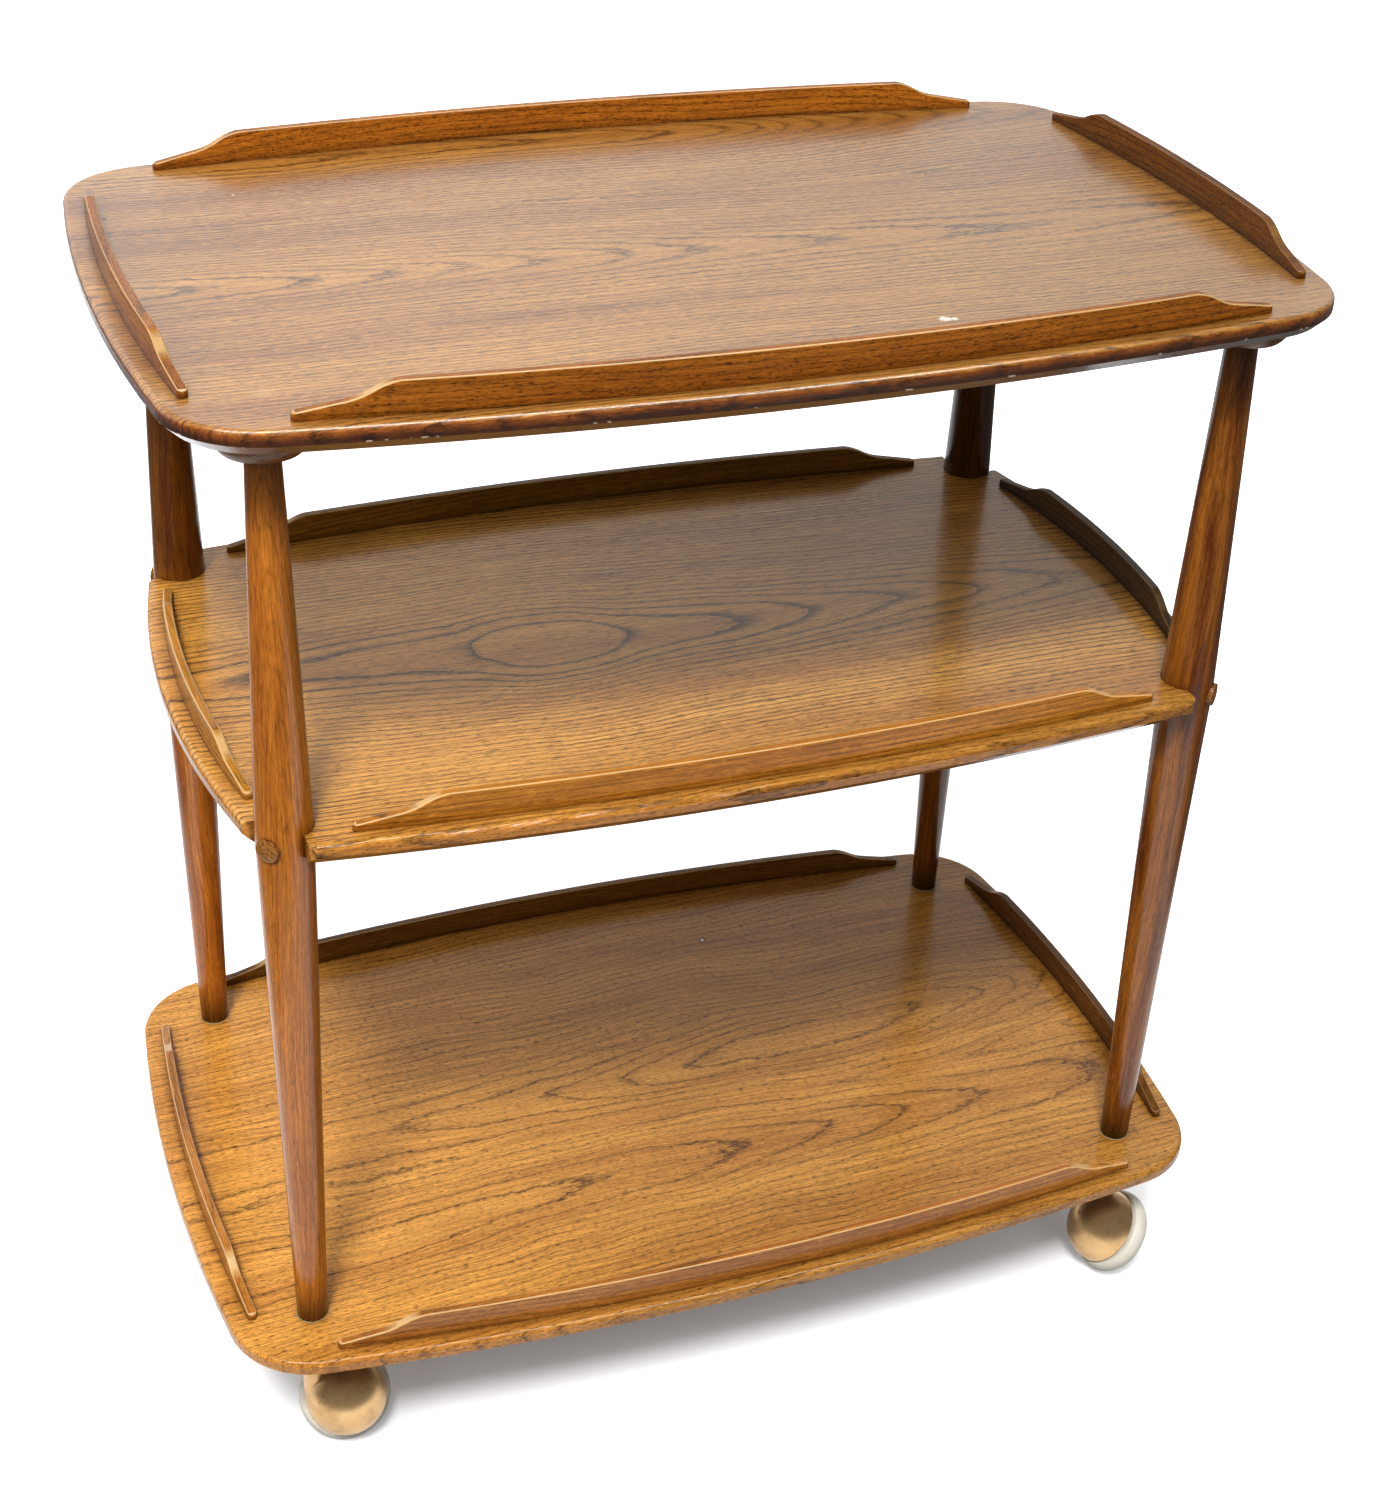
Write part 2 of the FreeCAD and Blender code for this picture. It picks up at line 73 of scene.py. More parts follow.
def put(tree, kind, inputs=None, **settings):
    """Adds one shader node; an input is a number, a colour or the socket of another node."""
    made = tree.nodes.new("ShaderNode" + kind)
    for setting, value in settings.items():
        setattr(made, setting, value)
    for name, value in (inputs or {}).items():
        if isinstance(value, bpy.types.NodeSocket):
            tree.links.new(value, made.inputs[name])
        else:
            made.inputs[name].default_value = value
    return made


def maths(tree, operation, first, second=0.0, third=0.0):
    """One Math node; only the operations that take a third number are given it."""
    inputs = {0: first, 1: second}
    if operation in ("SMOOTH_MIN", "MULTIPLY_ADD"):
        inputs[2] = third
    return put(tree, "Math", inputs, operation=operation).outputs[0]


def spread(tree, value, low, high, to_low=0.0, to_high=1.0):
    """Maps a value smoothly from one range to another, and stops at its ends."""
    inputs = {"Value": value, "From Min": low, "From Max": high, "To Min": to_low, "To Max": to_high}
    return put(tree, "MapRange", inputs, interpolation_type="SMOOTHSTEP").outputs[0]


def mixed(tree, share, under, over, way="MIX"):
    return put(tree, "Mix", {0: share, 6: under, 7: over}, data_type="RGBA", blend_type=way).outputs[2]


def multiplied(tree, first, second):
    return maths(tree, "MULTIPLY", first, second)


def scaled(tree, place, along, across, up=None):
    """The place with so many units in a metre along the grain, across it and up."""
    steps = (along, across, across if up is None else up)
    return put(tree, "VectorMath", {0: place, 1: steps}, operation="MULTIPLY").outputs[0]


def noise(tree, place, detail=2.0, roughness=0.5):
    inputs = {"Vector": place, "Scale": 1.0, "Detail": detail, "Roughness": roughness}
    return put(tree, "TexNoise", inputs).outputs[0]


def swing(tree, place, scale, detail, roughness=0.5):
    """Noise that swings either side of zero."""
    return maths(tree, "SUBTRACT", noise(tree, scaled(tree, place, *scale), detail, roughness), 0.5)


def curve(tree, value, low, high, points):
    """A smooth line through a few (place, height) points between low and high."""
    share = put(tree, "MapRange", {"Value": value, "From Min": low, "From Max": high}).outputs[0]
    made = put(tree, "FloatCurve", {"Value": share})
    line = made.mapping.curves[0]
    spots = [((place - low) / (high - low), height) for place, height in points]
    for spot, height in spots[1:-1]:
        line.points.new(spot, height)
    line.points[0].location = spots[0]
    line.points[-1].location = spots[-1]
    made.mapping.update()
    return made.outputs[0]


def from_screen(red, green, blue):
    """A colour as it looks on the screen, from 0 to 255, as the shader wants it."""
    parts = []
    for level in (red, green, blue):
        share = level / 255
        parts.append(share / 12.92 if share <= 0.04045 else ((share + 0.055) / 1.055) ** 2.4)
    return (*parts, 1.0)


def darkened(colour, level):
    """The colour times a level, which may also be above 1."""
    return tuple(part * level for part in colour[:3]) + (1.0,)


def blank(name):
    """A new material with an empty tree and its output."""
    material = bpy.data.materials.new(name)
    material.use_nodes = True
    material.node_tree.nodes.clear()
    tree = material.node_tree
    return material, tree, put(tree, "OutputMaterial")


def cover(tree, end, surface):
    """Ends a material with one shader that has these inputs."""
    shader = put(tree, "BsdfPrincipled", surface)
    tree.links.new(shader.outputs[0], end.inputs[0])


# Wood

# How fine each layer of the wood is: features in a metre along the grain, across it and, where given, up
sway_scale = (3.0, 5.0)
curl_scale = (9.0, 14.0)
ripple_scale = (22, 60)
jag_scale = (95, 240)
dash_scale = (60, 900)
strength_scale = (5.0, 30)
fibre_scale = (18, 760)
glint_scale = (120, 1000, 400)
edge_scale = (70, 70)
edge_glint_scale = (130, 130)
spot_scale = (400, 400)

# Ranges for spread: the first two numbers become the last two or, without those, 0 and 1. Where there are
# three numbers, the look gives the last
year_start = (0.0, 0.06)               # how sharply a year's dark line starts
year_end = (0.85, 1.0)                 # where the year darkens a little before it
dash_range = (0.3, 0.6, 0.7, 1.0)      # what the dashes leave of the line
strength_range = (0.3, 0.7, 0.4, 1.0)  # how strong the lines are from place to place
near_heart = (2.5, 6.0, 1.0, 0.0)      # how many rings near the heart are all strong
far_from_heart = (2.0, 9.0, 1.0)       # how the rings fade with their count
pore_range = (0.56, 0.68)
glint_range = (0.60, 0.70)
streak_range = (0.35, 0.75, 0.0)
fibre_range = (0.3, 0.75)
arris_lower = (0.40, 0.65)             # the upward part of the normal, from a side to the arris
arris_upper = (0.99, 0.90)             # and from a level top to the arris
contact_shade_range = (0.3, 0.9, 1.0, 0.0)      # how open a place is to the sky, for the painted contact shade
edge_glint_width = (0.0009, 0.0003)          # how far from the arris the painted glints reach, in metres
edge_glint_range = (0.62, 0.67)

# The growth rings
sway_reach = 0.03                      # how far the grain sways, in metres
heart_blend = 0.02                     # how softly the rings of two hearts meet, in metres
heart_depth_unit = 0.1                 # the unit of a heart's depths, in metres
first_ring = 0.6                       # the part of a year that the first ring starts at
crowd_start = 3.0                      # the ring that crowding starts at
drift_pace = 0.4                       # how quickly the width of a year drifts
drift_share = 1.8                      # how far it drifts, in rings
ripple_share = 0.5                     # how far the rings ripple, in rings
late_share = 0.3                       # how dark the end of a year is beside its start
seed_steps = (1.0, 0.37, 0.71)         # how far a seed moves the noise on each axis

# The finish
streak_level = 0.62
pore_level = 0.35
pore_pull = 0.09                       # how much the dark lines draw the pores
glint_level = 1.5
fibre_dark = (0.70, 0.66, 0.60, 1)
fibre_light = (1.26, 1.26, 1.24, 1)
# Painted shade under a tray's edge
painted_under_shade = (0.16, 0.13, 0.12, 1)
# Painted shade in corners and where pieces meet
painted_contact_shade = from_screen(92, 66, 48)
# Painted highlight, with some wear: the paler upper arrises
wear_and_highlight_pale = from_screen(240, 202, 140)
red_stain = from_screen(204, 152, 122)
# Painted highlight: pale glints along a tray's lower arris
painted_edge_glint = from_screen(222, 204, 184)
edge_raggedness = 0.003                # how far the stains of an edge wander, in metres
spot_reach = 1.5                       # in radii of the spot; its ragged rim takes up to one of them
spot_softness = 0.4
wood_roughness = 0.36

# The relief: its full height in metres, and the parts of the pores, fibres and dark lines in it
relief_height = 0.00025
relief_strength = 0.22
pore_depth = -0.7
fibre_height = 0.25
line_depth = -0.2

wood_plan = dict(
    grain="X",          # the axis that the grain runs along
    hearts=(),          # the middles of the logs that the piece was sawn from
    ring=0.0045,        # the width of a year, in metres
    core=0.0,           # how far the plain heart reaches, in metres
    jag=0.3,            # how jagged the rings are, in rings
    curl=0.008,         # how far the grain curls, in metres
    crowd=0.0,          # how much closer the rings grow away from the heart
    line=0.32,          # the dark share of a year
    band_share=0.8,     # how dark the dark share is
    far_share=1.0,      # how much of that is left far from the heart
    streak=0.5,         # how strong the broad streaks are
    broad=(2.2, 26),    # how fine they are, along and across
    pore=0.5,           # how dark the pores are
    fleck=(150, 1300),  # how fine they are, along and across
    glint=0.2,          # how strong the painted glints are, short pale flecks
    seed=0.0,           # picks the place in the noise
    haze=0.0,           # the specular level of the wood under its coat
    coat=0.9,           # how much lacquer there is
    gloss=0.18,         # the lacquer's roughness
    fade=None,          # a range for spread along x that multiplies the tone: painted light falloff from one end to the other
    shades=(),          # ranges for spread up z that do the same: painted shade
    edge=None,          # the red stain, painted shade and painted glints round a tray's edge
    rubbed_share=0.0,   # how pale the upper arrises are: painted highlight, with some wear
    dirt_reach=0.010,   # how far from a corner the painted contact shade reaches, in metres
    dirt_share=0.8,     # how dark that painted shade is
    marks=())           # small worn or damaged spots


def heart_distance(tree, x, y, z, heart):
    """How far a point lies from the middle of the log that a board was sawn from."""
    depth = curve(tree, x, -heart["reach"], heart["reach"], heart["depths"])
    line = maths(tree, "MULTIPLY_ADD", x, heart["lean"], heart["place"])
    aside = maths(tree, "SUBTRACT", y, line)
    below = maths(tree, "ADD", multiplied(tree, depth, heart_depth_unit), z)
    squares = maths(tree, "ADD", maths(tree, "POWER", aside, 2.0), maths(tree, "POWER", below, 2.0))
    return maths(tree, "SQRT", squares)


def grown_rings(tree, place, parts, look):
    """Counts the growth rings from the plain heart of the board, and bends the grain on the way."""
    x, y, z = parts
    y = maths(tree, "MULTIPLY_ADD", swing(tree, place, sway_scale, detail=1.0), sway_reach, y)
    y = maths(tree, "MULTIPLY_ADD", swing(tree, place, curl_scale, detail=1.0), look.curl, y)
    away = None
    for heart in look.hearts:
        found = heart_distance(tree, x, y, z, heart)
        away = found if away is None else maths(tree, "SMOOTH_MIN", away, found, heart_blend)
    past_core = maths(tree, "MAXIMUM", maths(tree, "SUBTRACT", away, look.core), 0.0)
    beyond = maths(tree, "DIVIDE", past_core, look.ring)
    paced = multiplied(tree, beyond, drift_pace)
    slow = put(tree, "CombineXYZ", {0: paced, 1: round(look.seed)}).outputs[0]
    drift = maths(tree, "SUBTRACT", noise(tree, slow, detail=1.0), 0.5)
    ripple = swing(tree, place, ripple_scale, detail=2.0)
    jags = swing(tree, place, jag_scale, detail=2.0, roughness=0.65)
    crowded = maths(tree, "MAXIMUM", maths(tree, "SUBTRACT", beyond, crowd_start), 0.0)
    rings = maths(tree, "MULTIPLY_ADD", crowded, look.crowd, maths(tree, "ADD", beyond, first_ring))
    rings = maths(tree, "MULTIPLY_ADD", drift, drift_share, rings)
    rings = maths(tree, "MULTIPLY_ADD", ripple, ripple_share, rings)
    rings = maths(tree, "MULTIPLY_ADD", jags, look.jag, rings)
    bent = put(tree, "CombineXYZ", {0: x, 1: y, 2: z}).outputs[0]
    return rings, beyond, bent


def dark_bands(tree, place, rings, beyond, look):
    """The dark start of each year, and the band that it paints with the fainter end of the year."""
    year = maths(tree, "FRACT", rings)
    early = multiplied(tree, spread(tree, year, look.line, 0.0), spread(tree, year, *year_start))
    late = multiplied(tree, spread(tree, year, *year_end), late_share)
    dashes = noise(tree, scaled(tree, place, *dash_scale), detail=1.0)
    band = multiplied(tree, maths(tree, "ADD", early, late), spread(tree, dashes, *dash_range))
    patches = noise(tree, scaled(tree, place, *strength_scale), detail=2.0)
    strength = spread(tree, patches, *strength_range)
    strength = maths(tree, "MAXIMUM", strength, spread(tree, beyond, *near_heart))
    band = multiplied(tree, band, strength)
    return early, multiplied(tree, band, spread(tree, beyond, *far_from_heart, look.far_share))


def mark(tree, place, spot):
    """From 0 to the spot's share inside a small worn or damaged spot on a piece."""
    radius = spot["radius"]
    soft = spot.get("soft", spot_softness)
    ragged = noise(tree, scaled(tree, place, *spot_scale), detail=1.0)
    away = put(tree, "VectorMath", {0: place, 1: spot["centre"]}, operation="DISTANCE").outputs["Value"]
    rim = maths(tree, "MULTIPLY_ADD", ragged, radius, away)
    inside = spread(tree, rim, radius * (spot_reach + soft), radius * (spot_reach - soft))
    return multiplied(tree, inside, spot.get("share", 1.0))


def edge_stain_shade_and_glints(tree, tone, here, height, edge):
    """The red stain, the painted shade of the dark underside and the painted glints along the lower arris
    that run round a tray's edge.
    """
    ragged = swing(tree, here, edge_scale, detail=2.0)
    level = maths(tree, "MULTIPLY_ADD", ragged, edge_raggedness, height)
    stained = spread(tree, level, edge["stain_end"], edge["stain_start"], edge["stain_share"], 0.0)
    tone = mixed(tree, stained, tone, red_stain, "MULTIPLY")
    # Painted shade: the lower part of the edge darker
    shaded = spread(tree, level, edge["dark_end"], edge["dark_start"], edge["dark_share"], 0.0)
    tone = mixed(tree, shaded, tone, painted_under_shade, "MULTIPLY")
    # Painted highlight: pale glints along the lower arris
    off_arris = maths(tree, "ABSOLUTE", maths(tree, "SUBTRACT", height, edge["arris"]))
    edge_glints = noise(tree, scaled(tree, here, *edge_glint_scale), detail=1.0)
    worn = multiplied(tree, spread(tree, off_arris, *edge_glint_width), spread(tree, edge_glints, *edge_glint_range))
    return mixed(tree, multiplied(tree, worn, edge["edge_glints"]), tone, painted_edge_glint)


def aged(tree, tone, here, parts, look):
    """The wood's tone with its paler upper arrises (painted highlight with some wear), painted light
    falloff, painted shade up z, the edge's stain and painted shade, painted contact shade in corners, and
    small marks.
    """
    # Painted highlight, with some wear, on the upper arrises
    if look.rubbed_share:
        upright = put(tree, "SeparateXYZ", {0: put(tree, "TexCoord").outputs["Normal"]}).outputs[2]
        arris = multiplied(tree, spread(tree, upright, *arris_lower), spread(tree, upright, *arris_upper))
        tone = mixed(tree, multiplied(tree, arris, look.rubbed_share), tone, wear_and_highlight_pale)
    # Painted light: brighter towards one end along x
    if look.fade:
        tone = mixed(tree, 1.0, tone, spread(tree, parts[0], *look.fade), "MULTIPLY")
    # Painted shade up z
    for shade in look.shades:
        tone = mixed(tree, 1.0, tone, spread(tree, parts[2], *shade), "MULTIPLY")
    if look.edge:
        tone = edge_stain_shade_and_glints(tree, tone, here, parts[2], look.edge)
    # Painted shade: darker where ambient occlusion finds corners and pieces that meet
    open_sky = put(tree, "AmbientOcclusion", {"Distance": look.dirt_reach}, samples=4).outputs["AO"]
    darkening = multiplied(tree, spread(tree, open_sky, *contact_shade_range), look.dirt_share)
    tone = mixed(tree, darkening, tone, painted_contact_shade, "MULTIPLY")
    for spot in look.marks:
        tone = mixed(tree, mark(tree, here, spot), tone, spot["colour"])
    return tone


def wood(name, centre, pale, deep, **choices):
    """Lacquered elm: growth rings round the heart of the log, jagged flecks, pores and fibres."""
    look = SimpleNamespace(**{**wood_plan, **choices})
    material, tree, end = blank(name)
    here = put(tree, "TexCoord").outputs["Object"]
    local = put(tree, "VectorMath", {0: here, 1: centre}, operation="SUBTRACT").outputs[0]
    parts = put(tree, "SeparateXYZ", {0: local}).outputs
    order = {"X": (0, 1, 2), "Y": (1, 0, 2), "Z": (2, 0, 1)}[look.grain]
    offset = tuple(look.seed * step for step in seed_steps)
    turned = put(tree, "CombineXYZ", {i: parts[k] for i, k in enumerate(order)}).outputs[0]
    place = put(tree, "VectorMath", {0: turned, 1: offset}).outputs[0]
    rings, beyond, bent = grown_rings(tree, place, [parts[k] for k in order], look)
    place = put(tree, "VectorMath", {0: bent, 1: offset}).outputs[0]
    early, band = dark_bands(tree, place, rings, beyond, look)

    fibres = noise(tree, scaled(tree, place, *fibre_scale), detail=3.0, roughness=0.65)
    broad = noise(tree, scaled(tree, place, *look.broad), detail=3.0)
    flecks = noise(tree, scaled(tree, place, *look.fleck), detail=1.0)
    sparks = noise(tree, scaled(tree, place, *glint_scale), detail=1.0)
    pores = spread(tree, maths(tree, "MULTIPLY_ADD", early, pore_pull, flecks), *pore_range)
    glints = spread(tree, sparks, *glint_range)

    tone = mixed(tree, multiplied(tree, band, look.band_share), pale, deep)
    streaks = spread(tree, broad, *streak_range, look.streak)
    tone = mixed(tree, streaks, tone, darkened(pale, streak_level), "MULTIPLY")
    grained = mixed(tree, spread(tree, fibres, *fibre_range), fibre_dark, fibre_light)
    tone = mixed(tree, 1.0, tone, grained, "MULTIPLY")
    tone = mixed(tree, multiplied(tree, pores, look.pore), tone, darkened(deep, pore_level))
    # Painted highlight: short pale glints in the wood
    lit = tuple(min(part * glint_level, 1.0) for part in pale[:3]) + (1.0,)
    tone = mixed(tree, multiplied(tree, glints, look.glint), tone, lit)
    tone = aged(tree, tone, here, parts, look)

    height = maths(tree, "MULTIPLY_ADD", pores, pore_depth, multiplied(tree, fibres, fibre_height))
    height = maths(tree, "MULTIPLY_ADD", early, line_depth, height)
    relief = {"Strength": relief_strength, "Distance": relief_height, "Height": height}
    bump = put(tree, "Bump", relief).outputs[0]
    surface = {"Base Color": tone, "Roughness": wood_roughness, "Normal": bump,
               "Specular IOR Level": look.haze, "Coat Weight": look.coat, "Coat Roughness": look.gloss,
               "Coat Normal": bump}
    cover(tree, end, surface)
    return material


# Metal and plastic

# Features in a metre, as for the wood
metal_cloud_scale = (60, 60)
rub_scale = (900, 120, 500)
scratch_scale = (90, 700, 160)
plastic_cloud_scale = (70, 70)
speck_scale = (1100, 1100)

# Ranges for spread, as for the wood; each material gives the rest of its grime, speck and rough ranges
scratch_range = (0.74, 0.78)
worn_range = (0.35, 0.8)
grime_range = (0.42, 0.8, 0.0)
speck_range = (0.68, 0.78, 0.0)
rough_range = (0.3, 0.8)

scratch_level = 0.25
metal_share = 0.8
metal_rougher = 0.1                    # how much rougher the worn clouds are
plastic_rougher = 0.15
rub_height = 0.0002                    # the height of the fine relief, in metres


def metal(name, colour, worn, roughness, scratches):
    """Plated metal with cloudy wear, fine rubbing marks and a few scratches."""
    material, tree, end = blank(name)
    here = put(tree, "TexCoord").outputs["Object"]
    clouds = noise(tree, scaled(tree, here, *metal_cloud_scale), detail=4.0, roughness=0.6)
    rubbed = noise(tree, scaled(tree, here, *rub_scale), detail=2.0)
    lines = noise(tree, scaled(tree, here, *scratch_scale), detail=1.0)
    cut = multiplied(tree, spread(tree, lines, *scratch_range), scratches)
    tone = mixed(tree, spread(tree, clouds, *worn_range), colour, worn)
    tone = mixed(tree, cut, tone, darkened(colour, scratch_level))
    rough = spread(tree, clouds, *rough_range, roughness, roughness + metal_rougher)
    bump = put(tree, "Bump", {"Strength": 0.12, "Distance": rub_height, "Height": rubbed}).outputs[0]
    cover(tree, end, {"Base Color": tone, "Metallic": metal_share, "Roughness": rough, "Normal": bump})
    return material


def plastic(name, colour, grime, roughness, darkening=0.35):
    """Moulded cream plastic or rubber, with handling grime in soft patches and specks."""
    material, tree, end = blank(name)
    here = put(tree, "TexCoord").outputs["Object"]
    clouds = noise(tree, scaled(tree, here, *plastic_cloud_scale), detail=5.0, roughness=0.65)
    specks = noise(tree, scaled(tree, here, *speck_scale), detail=2.0)
    tone = mixed(tree, spread(tree, clouds, *grime_range, darkening), colour, grime)
    tone = mixed(tree, spread(tree, specks, *speck_range, darkening), tone, grime)
    rough = spread(tree, clouds, *rough_range, roughness, roughness + plastic_rougher)
    bump = put(tree, "Bump", {"Strength": 0.1, "Distance": rub_height, "Height": specks}).outputs[0]
    cover(tree, end, {"Base Color": tone, "Roughness": rough, "Normal": bump})
    return material


# Modifiers that soften the CAD pieces without changing their meshes

rail_round = 0.0014                    # the radius of a rail's arrises, in metres
weld_reach = 0.000002                  # how close points are that are joined, in metres
bevel_segments = 3
flat_angle = math.radians(0.3)         # below this, faces are one flat face
corner_angle = math.radians(32)        # above this, an edge is an arris


def smoothing_group():
    """Geometry nodes that shade all but the sharp edges smooth."""
    group = bpy.data.node_groups.new("smooth_by_angle", "GeometryNodeTree")
    group.interface.new_socket("Geometry", in_out="INPUT", socket_type="NodeSocketGeometry")
    group.interface.new_socket("Geometry", in_out="OUTPUT", socket_type="NodeSocketGeometry")
    start = group.nodes.new("NodeGroupInput")
    end = group.nodes.new("NodeGroupOutput")
    angle = group.nodes.new("GeometryNodeInputMeshEdgeAngle")
    gentle = group.nodes.new("FunctionNodeCompare")
    gentle.operation = "LESS_THAN"
    gentle.inputs[1].default_value = corner_angle
    faces = group.nodes.new("GeometryNodeSetShadeSmooth")
    edges = group.nodes.new("GeometryNodeSetShadeSmooth")
    edges.domain = "EDGE"
    group.links.new(angle.outputs["Unsigned Angle"], gentle.inputs[0])
    group.links.new(start.outputs[0], faces.inputs["Geometry"])
    group.links.new(faces.outputs[0], edges.inputs["Geometry"])
    group.links.new(gentle.outputs[0], edges.inputs["Shade Smooth"])
    group.links.new(edges.outputs[0], end.inputs[0])
    return group


smooth_edges = smoothing_group()


def soften(piece, radius=0.0):
    """Joins a piece's points, rounds its arrises where it is given a radius, and shades it smooth."""
    weld = piece.modifiers.new("weld", "WELD")
    weld.merge_threshold = weld_reach
    if radius:
        flat = piece.modifiers.new("flat", "DECIMATE")
        flat.decimate_type = "DISSOLVE"
        flat.angle_limit = flat_angle
        bevel = piece.modifiers.new("bevel", "BEVEL")
        bevel.limit_method = "ANGLE"
        bevel.angle_limit = corner_angle
        bevel.width = radius
        bevel.segments = bevel_segments
    shade = piece.modifiers.new("smooth", "NODES")
    shade.node_group = smooth_edges
    if radius:
        flatter = piece.modifiers.new("flatter", "WEIGHTED_NORMAL")
        flatter.keep_sharp = True


def dress(name, material, radius=0.0, as_packed=False):
    """Gives a CAD piece its finish and, unless it keeps the shading it was packed with, smooth shading."""
    piece = nodes[name]
    piece.data.materials.clear()
    piece.data.materials.append(material)
    if not as_packed:
        soften(piece, radius)


def middle_of(name):
    low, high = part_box(name)
    return (low + high) / 2


# Trays

white_chip = from_screen(240, 232, 216)
pale_knock = from_screen(206, 156, 96)
dark_nick = from_screen(40, 22, 10)
top_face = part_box("top_tray")[1].z
bottom_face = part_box("bottom_tray")[1].z
tray_reach = 0.36

# Heights from the middle of a tray, in metres, and how much of the red stain, of the painted shade under the
# edge and of the painted glints it takes
tray_edge = {"stain_start": 0.0072, "stain_end": 0.0048, "dark_start": 0.0050, "dark_end": 0.0004,
             "stain_share": 0.9, "dark_share": 0.95, "arris": -0.0010, "edge_glints": 0.0}

# A heart runs along the board at a place across it, with a lean. Its depths below the middle of the board
# are in units of 0.1 m. Where it comes near the face, the rings make an oval or the point of a cathedral
tray_hearts = {
    "top": (
        {"place": -0.020, "lean": -0.02, "reach": tray_reach,
         "depths": ((-0.36, 0.10), (-0.237, 0.20), (-0.19, 0.252), (-0.133, 0.304), (-0.061, 0.356),
                    (-0.005, 0.408), (0.104, 0.46), (0.297, 0.512), (0.36, 0.53))},
        {"place": 0.192, "lean": -0.03, "reach": tray_reach,
         "depths": ((-0.36, 0.05), (-0.1, 0.12), (0.05, 0.2), (0.2, 0.42), (0.36, 0.60))}),
    "middle": (
        {"place": -0.006, "lean": -0.035, "reach": tray_reach,
         "depths": ((-0.36, 0.42), (-0.283, 0.368), (-0.147, 0.30), (-0.085, 0.166), (-0.024, 0.30),
                    (0.051, 0.368), (0.109, 0.436), (0.207, 0.504), (0.298, 0.572), (0.36, 0.60))},),
    "bottom": (
        {"place": 0.004, "lean": 0.05, "reach": tray_reach,
         "depths": ((-0.36, 0.42), (-0.1, 0.36), (0.1, 0.22), (0.2, 0.24), (0.36, 0.45))},
        {"place": -0.10, "lean": 0.04, "reach": tray_reach,
         "depths": ((-0.36, 0.10), (-0.1, 0.16), (0.09, 0.30), (0.36, 0.50))}),
}
tray_looks = {
    "top": dict(
        pale=from_screen(202, 143, 64), deep=from_screen(60, 28, 10), seed=1.0,
        ring=0.0052, core=0.0150, jag=0.72, curl=0.006, crowd=0.3,
        line=0.42, band_share=1.0, streak=0.6, pore=0.55, fleck=(170, 1700), glint=0.45,
        coat=0.95, gloss=0.17, haze=0.35, fade=(-tray_reach, tray_reach, 1.12, 0.80),
        edge={**tray_edge, "dark_start": 0.0062, "edge_glints": 0.8}),
    "middle": dict(
        pale=from_screen(217, 156, 71), deep=from_screen(54, 34, 16), seed=4.0,
        ring=0.0068, core=0.0325, jag=0.2, curl=0.006, crowd=0.55,
        line=0.42, band_share=1.0, streak=0.45, pore=0.65, fleck=(170, 1800),
        coat=0.9, gloss=0.17, fade=(-tray_reach, tray_reach, 1.25, 0.78),
        edge={**tray_edge, "stain_share": 0.35, "dark_share": 0.1}),
    "bottom": dict(
        pale=from_screen(204, 145, 65), deep=from_screen(64, 34, 14), seed=8.0,
        ring=0.0074, core=0.006, jag=0.45, curl=0.02, crowd=0.3,
        line=0.25, band_share=1.0, far_share=0.9, streak=0.45, pore=0.8, fleck=(200, 2000), glint=0.35,
        coat=0.7, gloss=0.2, fade=(-0.34, 0.06, 1.4, 0.90),
        edge={**tray_edge, "stain_share": 0.15, "dark_share": 0.0}),
}
tray_marks = {
    "top": (
        {"centre": (-0.290, -0.162, top_face), "radius": 0.0052, "colour": pale_knock, "soft": 0.9,
         "share": 0.6},
        {"centre": (-0.327, 0.116, top_face), "radius": 0.0016, "colour": dark_nick},
        {"centre": (-0.245, 0.140, top_face), "radius": 0.0011, "colour": white_chip},
        {"centre": (0.0960, -0.161, top_face), "radius": 0.0034, "colour": white_chip, "soft": 0.2},
        {"centre": (0.1015, -0.162, top_face), "radius": 0.0020, "colour": white_chip, "soft": 0.2}),
    "middle": (),
    "bottom": (
        {"centre": (0.091, 0.144, bottom_face), "radius": 0.0024, "colour": dark_nick},
        {"centre": (0.091, 0.144, bottom_face), "radius": 0.0013, "colour": white_chip}),
}
for tier in tiers:
    finish = wood(f"{tier}_tray_elm", middle_of(f"{tier}_tray"), hearts=tray_hearts[tier],
                  marks=tray_marks[tier], **tray_looks[tier])
    dress(f"{tier}_tray", finish, as_packed=True)


# Rails

# A rail's colours are those of its tier times its own level, which on the middle and bottom back rails is
# painted shade, and its coat and pale arrises go by its side
rail_looks = {
    "top": dict(pale=from_screen(190, 114, 32), deep=from_screen(54, 26, 8), pore=0.7, band_share=0.6),
    "middle": dict(pale=from_screen(216, 146, 50), deep=from_screen(84, 44, 12), pore=0.35, band_share=0.85),
    "bottom": dict(pale=from_screen(202, 134, 56), deep=from_screen(86, 48, 18), pore=0.4, band_share=0.7),
}
rail_coats = {"back": 0.7, "front": 0.65, "right": 0.45, "left": 0.8}
# How much painted highlight, with some wear, each side's arrises take
rail_wear_and_highlight = {"back": 0.5, "front": 0.65, "right": 0.12, "left": 0.6}
